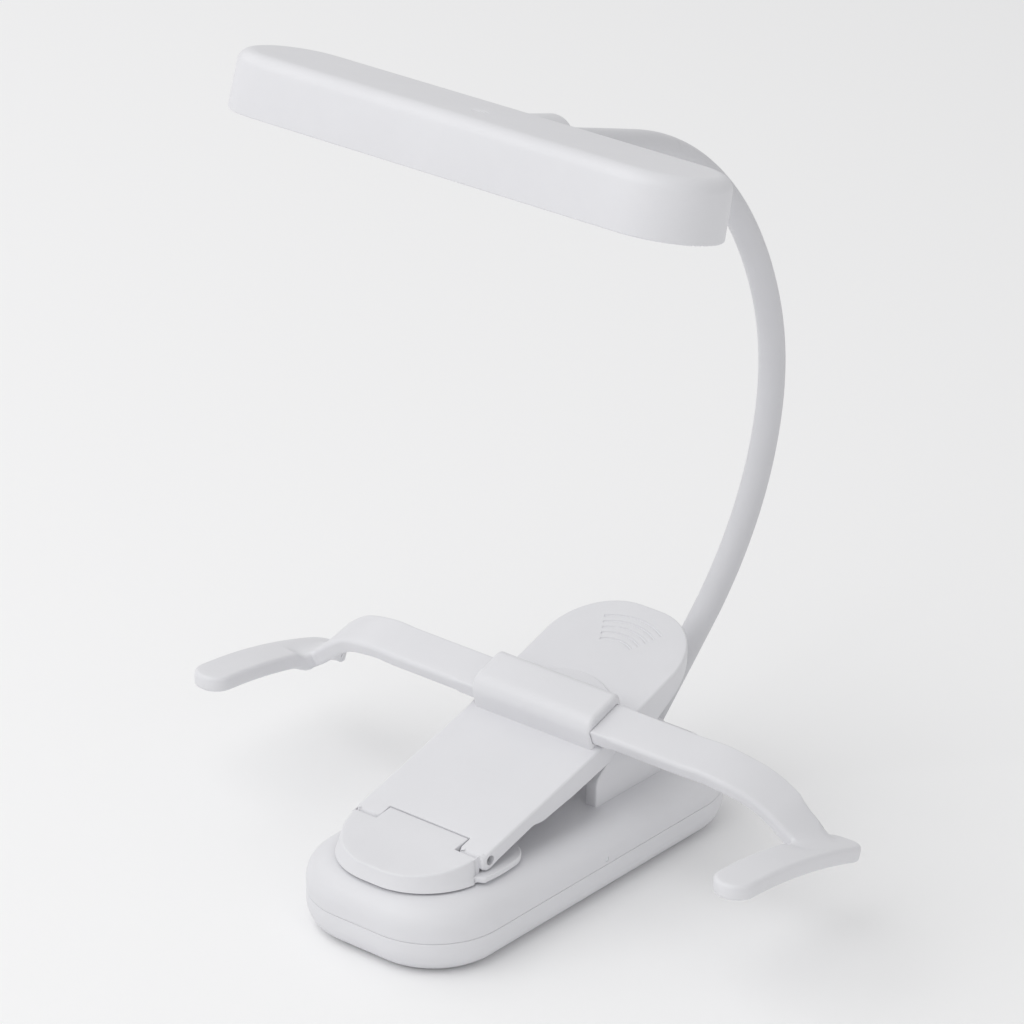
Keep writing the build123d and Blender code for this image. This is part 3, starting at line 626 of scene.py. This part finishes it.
def build_lever():
    outline = lever_outline()
    x, y = outline.T
    on_nose = (y < NOSE_Y + 1.0) & (np.abs(x) > KNUCKLE_W)
    in_notch = (np.abs(x) < KNUCKLE_W + 0.4) & (y < -27)
    top_r = np.where(on_nose, 1.3, np.where(in_notch, 0.2, 0.5))
    bottom_r = np.where(on_nose, 1.5, np.where(in_notch, 0.2, 0.35))
    rings = rounded_rings(outline, lever_top, skirt_z, top_r, bottom_r, steps=6)

    def inner(depth):
        ring = inset(outline, depth)
        ring[:, 1] = np.maximum(ring[:, 1], -25.4)
        return ring

    rings += [(inner(1.5), lambda x, y: np.maximum(skirt_z(x, y), np.where(y < -25.3, 18.6, 0))),
              (inner(1.65), lambda x, y: skirt_z(x, y) + 0.25),
              (inner(1.7), lambda x, y: lever_top(x, y) - PLATE_T - 0.8),
              (inner(1.9), lambda x, y: lever_top(x, y) - PLATE_T - 0.2),
              (inner(2.5), lambda x, y: lever_top(x, y) - PLATE_T)]
    lever = plate("clip_lever_plate", rings, lever_top, lambda x, y: lever_top(x, y) - PLATE_T, 2.2)
    tools = []
    for radius, y, z in ((1.05, JAW_Y, JAW_Z), (1.3, PIVOT_Y, PIVOT_Z)):
        for side in (1, -1):
            tools.append(lathe("pin_cut", [(0, radius), (8, radius)], (side * 12, y, z), (side, 0, 0), 28))
    for k in range(5):
        tools.append(grip_cutter(15.2 - 1.75 * k))
    cut(lever, tools)
    finish_piece(lever, "lever", LEVER, ["clip_lever"], 30)
    build_pins()


def build_pins():
    """The clip's two pins, each in two halves from the middle plane outwards."""
    jaw_profile = [(0, 0.88), (15.7, 0.88), (15.95, 0.7), (16.0, 0.3)]
    pivot_profile = [(0, 1.25), (15.7, 1.25), (16.05, 1.0), (16.2, 0.5)]
    for side in (1, -1):
        outwards = (side, 0, 0)
        pin = lathe(f"jaw_pin_end_{side_name(side)}", jaw_profile, (0, JAW_Y, JAW_Z), outwards, 28)
        finish_piece(pin, "lever", PIN_STEEL, ["jaw_hinge_pin"] if side > 0 else ())
        pivot = lathe(f"pivot_pin_end_{side_name(side)}", pivot_profile, (0, PIVOT_Y, PIVOT_Z), outwards, 28)
        finish_piece(pivot, "base", PIN_STEEL, ["lever_pivot_pin"] if side > 0 else ())


def grip_cutter(radius):
    centre_y, reach = 24.2, math.radians(30)
    points = []
    for k in range(25):
        a = math.pi / 2 - reach + 2 * reach * k / 24
        x, y = radius * math.cos(a), centre_y + radius * math.sin(a) * math.cos(REAR_SLOPE)
        points.append((x, y, float(lever_top(x, y)) + 0.17))
    return tube("groove", points, 0.39, 12)


def build_spring():
    wire, inner, turns = 0.9, 1.6, 10
    radius = inner + wire / 2
    points = []
    leg_x = -turns * wire / 2
    for k in range(7):
        points.append((leg_x, PIVOT_Y + 12 - 12 * k / 6 - radius * k / 6, BASE_H + 0.3 + wire / 2))
    for k in range(1, 6):
        points.append((leg_x, PIVOT_Y - radius, BASE_H + 0.75 + (PIVOT_Z - BASE_H - 0.75) * k / 6))
    for k in range(turns * 24 + 1):
        a = math.pi - 2 * math.pi * k / 24
        x = leg_x + wire * 1.02 * k / 24
        points.append((x, PIVOT_Y + radius * math.cos(a), PIVOT_Z + radius * math.sin(a)))
    coil = tube("torsion_spring", points, wire / 2, 12)
    finish_piece(coil, "base", SPRING_STEEL, ["clip_spring"])


# ---- jaw foot ---------------------------------------------------------------------------
def jaw_top(x, y):
    """Top of the jaw: level with the lever at the back of its tongue, slightly dished, down to the toe."""
    x, y = np.asarray(x, float), np.asarray(y, float)
    share = np.clip((-27.9 - y) / 18.1, 0, 1.05)
    dish = 0.22 * np.sin(math.pi * np.clip((-31.0 - y) / 15.0, 0, 1)) * np.clip(1 - (x / 15.0) ** 2, 0, 1)
    return 21.5 - 2.6 * share - 0.2 * share ** 2 - dish


def build_jaw():
    half, tongue_end = KNUCKLE_W - 0.1, -27.9
    toe = fillet_outline([(TOE_W, TOE_FRONT, TOE_R), (TOE_W, TOE_BACK, 0.6), (half, TOE_BACK, 0.2),
                          (half, tongue_end, 0.3), (-half, tongue_end, 0.3), (-half, TOE_BACK, 0.2),
                          (-TOE_W, TOE_BACK, 0.6), (-TOE_W, TOE_FRONT, TOE_R)], steps=18, side_step=1.0)
    flare = TOE_FLARE * np.clip((TOE_BACK - 0.1 - toe[:, 1]) / 1.2, 0, 1)
    edge = np.where(toe[:, 1] > TOE_BACK - 0.5, 0.2, 0.45)
    rings = []
    for k in range(5, -1, -1):
        a = math.pi / 2 * k / 5
        ring = inset(toe, edge * (1 - math.cos(a)))
        rings.append((ring, lambda x, y, a=a: jaw_top(x, y) - edge * (1 - math.sin(a))))
    # The wall leans outwards to its lip, and the tongue is cut away low at the back to clear the lever.
    for share, z in ((0.45, 17.3), (0.9, 16.1), (1.0, 15.9), (0.85, 15.75)):
        ring = inset(toe, -share * flare)
        ring[:, 1] = np.minimum(ring[:, 1], -29.0)
        rings.append((ring, level(z)))
    foot = plate("jaw_toe", rings, jaw_top, level(15.75), 1.6)
    pin_way = lathe("pin_way", [(0, 0.95), (44, 0.95)], (-22, JAW_Y, JAW_Z), (1, 0, 0), 28)
    finish_piece(cut(foot, [pin_way]), "jaw", LEVER, ["jaw_foot"], 36)
    heel = fillet_outline([(16.2, -45.0, 13.8), (16.6, -33.0, 0.6), (18.2, -32.2, 0.8), (18.7, -27.0, 40),
                           (17.6, -16.9, 6.5), (-17.6, -16.9, 6.5), (-18.7, -27.0, 40), (-18.2, -32.2, 0.8),
                           (-16.6, -33.0, 0.6), (-16.2, -45.0, 13.8)], steps=14, side_step=1.5)
    rings = rounded_rings(heel, level(17.2), level(15.9), 0.35, 0.3, steps=4)
    flange = plate("jaw_flange", rings, level(17.2), level(15.9), 3.0)
    finish_piece(flange, "jaw", LEVER)
    pad_plan = fillet_outline([(14.8, -43.8, 12.4), (16.4, -27.0, 40), (16.2, -18.3, 5.1),
                               (-16.2, -18.3, 5.1), (-16.4, -27.0, 40), (-14.8, -43.8, 12.4)],
                              steps=14, side_step=1.5)
    rings = rounded_rings(pad_plan, level(16.3), level(15.62), 0.1, 0.25, steps=3)
    pad = plate("jaw_grip_pad", rings, level(16.3), level(15.62), 3.0)
    tools = []
    for k in range(7):
        y = -41.5 + 3.6 * k
        tools.append(tube("rib", [(-30, y, 15.5), (30, y, 15.5)], 0.4, 10))
    cut(pad, tools)
    finish_piece(pad, "jaw", SILICONE, ["jaw_pad"])


# ---- page holder ------------------------------------------------------------------------
HOLDER = axes_matrix((1, 0, 0), (0, math.cos(REAR_SLOPE), math.sin(REAR_SLOPE)),
                     (0, -math.sin(REAR_SLOPE), math.cos(REAR_SLOPE)), (0, KINK_Y, KINK_Z))


def build_collar():
    outline = fillet_outline([(COLLAR_FRONT, -0.9, 0), (COLLAR_REAR, -0.9, 0), (COLLAR_REAR, COLLAR_H, 1.7),
                              (COLLAR_FRONT + 0.4, COLLAR_H, 3.6)], steps=10, side_step=1.0)
    rings = rounded_rings(outline, level(COLLAR_HALF), level(-COLLAR_HALF), 0.9, 0.9, steps=6)
    sleeve = plate("page_holder_sleeve", rings, level(COLLAR_HALF), level(-COLLAR_HALF), 2.0)
    middle = (ARM_FRONT + ARM_WIDTH / 2, ARM_FLOOR + ARM_THICK / 2)
    tunnel = rounded_rect(ARM_WIDTH + 2 * ARM_GAP, ARM_THICK + 2 * ARM_GAP, 0.7, middle, side_step=2)
    tool = plate("tunnel", [(tunnel, level(-20)), (tunnel, level(20))], level(-20), level(20), 3.0)
    cut(sleeve, [tool])
    turn_to(sleeve, HOLDER @ axes_matrix((0, 1, 0), (0, 0, 1), (1, 0, 0)))
    finish_piece(sleeve, "lever", LEVER, ["page_holder_collar"], 30)
    points = [(-APRON_W, APRON_START), (APRON_W, APRON_START)]
    for k in range(21):
        x = APRON_W * (1 - k / 10)
        points.append((x, APRON_REACH - APRON_R + math.sqrt(APRON_R ** 2 - x ** 2)))
    outline = resample_straights(np.array(points), 1.5)
    rings = rounded_rings(outline, level(0.55), level(-0.4), 0.25, 0.1, steps=3)
    apron = plate("holder_apron", rings, level(0.55), level(-0.4), 3.0)
    turn_to(apron, HOLDER)
    finish_piece(apron, "lever", LEVER)



def bar_w(x):
    """Height of the arm's top above the lever plane, along the arm."""
    run = np.clip(x - BEND_X, 0, BEND_R * math.sin(BEND_A))
    drop = BEND_R - np.sqrt(BEND_R ** 2 - run ** 2)
    beyond = np.maximum(x - BEND_X - BEND_R * math.sin(BEND_A), 0)
    return ARM_FLOOR + ARM_THICK - drop - beyond * math.tan(BEND_A)


def arm_parts(x, y):
    """Height of the tilted bar, height of the bowed foot, and the share of the foot at a point of an arm."""
    x, y = np.asarray(x, float), np.asarray(y, float)
    along = x - BEND_SKEW * (y - 8.0)
    bar = KINK_Z + (y - KINK_Y) * math.tan(REAR_SLOPE) + bar_w(along) / math.cos(REAR_SLOPE)
    foot = FOOT_Z - FOOT_FALL * y - FOOT_BOW * y ** 2
    aside = np.maximum(0, np.maximum(y - 16.3, 6.3 - y))
    t = np.clip((x + 2.5 * aside - BLEND_FROM) / (BLEND_TO - BLEND_FROM), 0, 1)
    return bar, foot, t * t * (3 - 2 * t)


def arm_top(x, y):
    bar, foot, share = arm_parts(x, y)
    return bar * (1 - share) + foot * share


def under_arm(plan, depth):
    """Points at a depth below the arm's upper surface, measured square to the bar and the foot."""
    x, y, step = plan[:, 0], plan[:, 1], 0.05
    share = arm_parts(x, y)[2]
    slopes = []
    for dx, dy in ((step, 0.0), (0.0, step)):
        ahead, behind = arm_parts(x + dx, y + dy), arm_parts(x - dx, y - dy)
        slopes.append(((ahead[0] - behind[0]) * (1 - share) + (ahead[1] - behind[1]) * share) / (2 * step))
    size = np.sqrt(1 + slopes[0] ** 2 + slopes[1] ** 2)
    shift = depth / size
    return np.column_stack([x + shift * slopes[0], y + shift * slopes[1], arm_top(x, y) - shift])


def foot_edge(y, side):
    """A point on the foot's inner (-1) or outer (1) edge."""
    return FOOT_X - FOOT_TOE_IN * y + side * FOOT_HALF


def arm_outline(front_tang):
    """Plan of an arm, seen from above: half-width tang, bar, and the foot across its end."""
    front, rear, root, tang_end = 3.69, 12.53, 14.0, -1.0
    before, behind = (front + rear) / 2 - 0.15, (front + rear) / 2 + 0.15
    corners = [(38, front, 30), (48, 4.17, 30), (57, 6.79, 12), (foot_edge(8.05, -1), 8.05, 0.5),
               (foot_edge(FOOT_FRONT, -1), FOOT_FRONT, 4.35), (foot_edge(FOOT_FRONT, 1), FOOT_FRONT, 4.35),
               (foot_edge(FOOT_REAR, 1), FOOT_REAR, 4.1),
               (foot_edge(FOOT_REAR, -1) - 0.3, FOOT_REAR - 1.2, 3.3),
               (foot_edge(16.5, -1), 16.5, 2.0), (57, 15.34, 12), (48, 13.05, 30), (38, rear, 30)]
    if front_tang:
        tang = [(root, before, 0.3), (tang_end, before, 0.4), (tang_end, front, 0.4)]
    else:
        tang = [(tang_end, rear, 0.4), (tang_end, behind, 0.4), (root, behind, 0.3), (root, front, 0.3)]
    return [(root, rear, 0.3)] + tang + corners


def build_arm(side):
    outline = fillet_outline(arm_outline(side > 0), steps=10, side_step=0.8)
    x, y = outline[:, 0], outline[:, 1]
    crisp = (x < 20) | ((y > 10) & (x < 60))
    top_r = np.where(crisp, 0.4, 0.95)
    low_r = np.where(crisp, 0.4, 0.85)
    layers, steps = [], 6
    for k in range(steps, -1, -1):
        a = math.pi / 2 * k / steps
        layers.append((inset(outline, top_r * (1 - math.cos(a))), top_r * (1 - math.sin(a))))
    for k in range(steps + 1):
        a = math.pi / 2 * k / steps
        layers.append((inset(outline, low_r * (1 - math.cos(a))), ARM_THICK - low_r * (1 - math.sin(a))))
    points, faces, count = [], [], len(outline)
    for plan, depth in layers:
        points.extend(under_arm(plan, depth))
    for k in range(len(layers) - 1):
        for i in range(count):
            j = (i + 1) % count
            faces.append([k * count + i, k * count + j, (k + 1) * count + j, (k + 1) * count + i])
    for plan, depth in ((layers[0][0], 0.0), (layers[-1][0], ARM_THICK)):
        spots, tris = cap(plan, level(0), 1.1)
        shift = len(points)
        points.extend(under_arm(spots[:, :2], depth))
        faces.extend([[i + shift for i in t] for t in tris])
    name = side_name(side)
    arm = make_object(f"page_arm_{name}_blade", points, faces)
    if side < 0:
        turn_to(arm, Matrix.Scale(-1, 4, (1, 0, 0)))
    finish_piece(arm, f"arm_{name}", LEVER, [f"page_arm_{name}"], 50)


# ---- neck -------------------------------------------------------------------------------
def build_neck():
    total = LINK * len(NECK_TURNS)
    for k in range(len(NECK_TURNS) + 1):
        joint = k * LINK
        low = joint - LINK / 2 if k else -1.2
        high = joint + LINK / 2 if k < len(NECK_TURNS) else total + 1.9
        steps = 24
        points = [neck_point(low + (high - low) * i / steps) for i in range(steps + 1)]
        sleeve = tube(f"neck_sleeve_{k + 1}", points, NECK_R, 40, closed_ends=False)
        finish_piece(sleeve, None, SHADED_SLEEVE, [f"neck_link_{k}"] if k else (), 60)
        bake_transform(sleeve)


# ---- light head -------------------------------------------------------------------------
def head_matrix():
    y, z, _ = NECK[-1]
    back = GRIP_Y * math.cos(HEAD_TILT) - BOSS_Z * math.sin(HEAD_TILT)
    rise = GRIP_Y * math.sin(HEAD_TILT) + BOSS_Z * math.cos(HEAD_TILT)
    return Matrix.Translation((0, y - back, z - rise)) @ Matrix.Rotation(HEAD_TILT, 4, "X")


HEAD = head_matrix()


def head_ring(depth):
    size = (HEAD_L - 2 * depth, HEAD_W - 2 * depth, HEAD_R - depth)
    return rounded_rect(*size, corner_steps=20, side_step=3.0)


def build_head():
    steps = 12
    lean = (HEAD_H - HEAD_EDGE_DOWN) * HEAD_DRAFT
    rings = []
    for k in range(steps, -1, -1):
        a = math.pi / 2 * k / steps
        depth = lean + HEAD_EDGE_OUT * (1 - math.cos(a) ** 0.9)
        rings.append((head_ring(depth), level(HEAD_H - HEAD_EDGE_DOWN * (1 - math.sin(a)))))
    rings += [(head_ring(0.02), level(0.45)), (head_ring(0.08), level(0.2)), (head_ring(0.3), level(0.0)),
              (head_ring(HEAD_WALL - 0.15), level(0.0)), (head_ring(HEAD_WALL), level(0.15)),
              (head_ring(HEAD_WALL), level(9.2)), (head_ring(HEAD_WALL + 1.3), level(10.5))]
    housing = plate("head_casing", rings, level(HEAD_H), level(10.5), 4.0)
    tools = []
    for radius in (1.1, 2.0, 2.9):
        arc = [(1.0 + radius * math.cos(a), -3.6 + radius * math.sin(a), HEAD_H + 0.09)
               for a in np.linspace(math.radians(40), math.radians(140), 17)]
        tools.append(tube("mark", arc, 0.17, 10))
    tools.append(lathe("mark_dot", [(-0.12, 0.3), (0.6, 0.42)], (1.0, -3.6, HEAD_H), (0, 0, 1), 16))
    for y in (-4.0, -1.9):
        tools.append(tube("nick", [(54.0, y, -0.15), (60.0, y, -0.15)], 0.45, 12))
    cut(housing, tools)
    turn_to(housing, HEAD)
    finish_piece(housing, "head", SHELL, ["head_housing"], 28)

    profile = [(0, 5.62), (11.1, 5.6), (11.75, 5.45), (12.3, 5.05), (12.7, 4.4), (12.9, 3.7), (13.05, 3.2),
               (13.3, 2.95), (13.3, 2.8), (9.0, 2.8)]
    boss = lathe("head_boss", profile, (0, BOSS_START, BOSS_Z), (0, 1, 0), 56)
    turn_to(boss, HEAD)
    finish_piece(boss, "head", SHELL, ["head_neck_ferrule"])

    rings = [(head_ring(HEAD_WALL + 1.2), level(0.35)), (head_ring(HEAD_WALL + 0.45), level(0.45)),
             (head_ring(HEAD_WALL + 0.2), level(0.8)), (head_ring(HEAD_WALL + 0.2), level(2.3))]
    cover = plate("light_cover", rings, level(0.35), level(2.3), 4.0)
    turn_to(cover, HEAD)
    finish_piece(cover, "head", DIFFUSER, ["head_diffuser"])


# ---- CAD nodes that keep their shape ----------------------------------------------------
KEPT = {
    "battery_cell": FOIL,
    "control_board": GREEN_BOARD,
    "usb_c_socket": USB_METAL,
    "spring_lever_leg": SPRING_STEEL,
    "led_board": WHITE_BOARD,
    "led_chips": LED_FACE,
    "board_screws": SCREW_STEEL,
    "touch_sensor_plate": GOLD,
}


def dress_kept_nodes():
    for node, material in KEPT.items():
        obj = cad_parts[node]
        obj.data.materials.clear()
        obj.data.materials.append(material)
        obj.data.set_sharp_from_angle(angle=math.radians(30))


# ---- floor, light and camera ------------------------------------------------------------
def build_stage():
    size, depth = 3.0, -0.00005
    mesh = bpy.data.meshes.new("floor")
    corners = [(-size, -size, depth), (size, -size, depth), (size, size, depth), (-size, size, depth)]
    mesh.from_pydata(corners, [], [(0, 1, 2, 3)])
    floor = bpy.data.objects.new("floor", mesh)
    bpy.context.scene.collection.objects.link(floor)
    material, _, _, shader = new_material("pale_floor")
    shader.inputs["Base Color"].default_value = (0.93, 0.93, 0.935, 1)
    shader.inputs["Roughness"].default_value = 0.9
    shader.inputs["Specular IOR Level"].default_value = 0.1
    mesh.materials.append(material)


def area_light(name, place, aim, size, energy, colour=(1, 1, 1)):
    data = bpy.data.lights.new(name, "AREA")
    data.shape = "RECTANGLE"
    data.size, data.size_y = size
    data.energy = energy
    data.color = colour
    light = bpy.data.objects.new(name, data)
    light.location = place
    light.rotation_mode = "QUATERNION"
    light.rotation_quaternion = (Vector(aim) - Vector(place)).to_track_quat("-Z", "Y")
    bpy.context.scene.collection.objects.link(light)


def build_light():
    world = bpy.data.worlds.new("studio")
    world.use_nodes = True
    background = world.node_tree.nodes["Background"]
    background.inputs["Color"].default_value = (1.0, 1.0, 1.0, 1)
    background.inputs["Strength"].default_value = 0.60
    bpy.context.scene.world = world
    area_light("key", (-0.30, -0.75, 1.05), (0, 0, 0.06), (1.4, 1.4), 7.9)
    area_light("fill", (-1.0, 0.1, 0.8), (0, 0, 0.06), (0.9, 0.9), 1.8)
    area_light("side", (1.0, -0.5, 0.5), (0, 0, 0.08), (1.0, 0.8), 0.9)
    bpy.context.scene.view_settings.view_transform = "Standard"
    bpy.context.scene.view_settings.exposure = 0.0


def build_camera():
    azimuth, elevation, distance = math.radians(40.02), math.radians(25.2), 1.0749
    aim = Vector((-0.0217, 0.0220, 0.0655))
    back = Vector((math.sin(azimuth) * math.cos(elevation), -math.cos(azimuth) * math.cos(elevation),
                   math.sin(elevation)))
    data = bpy.data.cameras.new("camera")
    data.sensor_width = 36.0
    data.lens = 184.2
    data.shift_x = 0.0053
    data.clip_end = 20
    camera = bpy.data.objects.new("camera", data)
    camera.location = aim + back * distance
    camera.rotation_mode = "QUATERNION"
    camera.rotation_quaternion = (-back).to_track_quat("-Z", "Y")
    bpy.context.scene.collection.objects.link(camera)
    bpy.context.scene.camera = camera


build_camera()
build_base()
build_lever()
build_spring()
build_jaw()
build_collar()
build_arm(1)
build_arm(-1)
build_neck()
build_head()
dress_kept_nodes()
build_stage()
build_light()
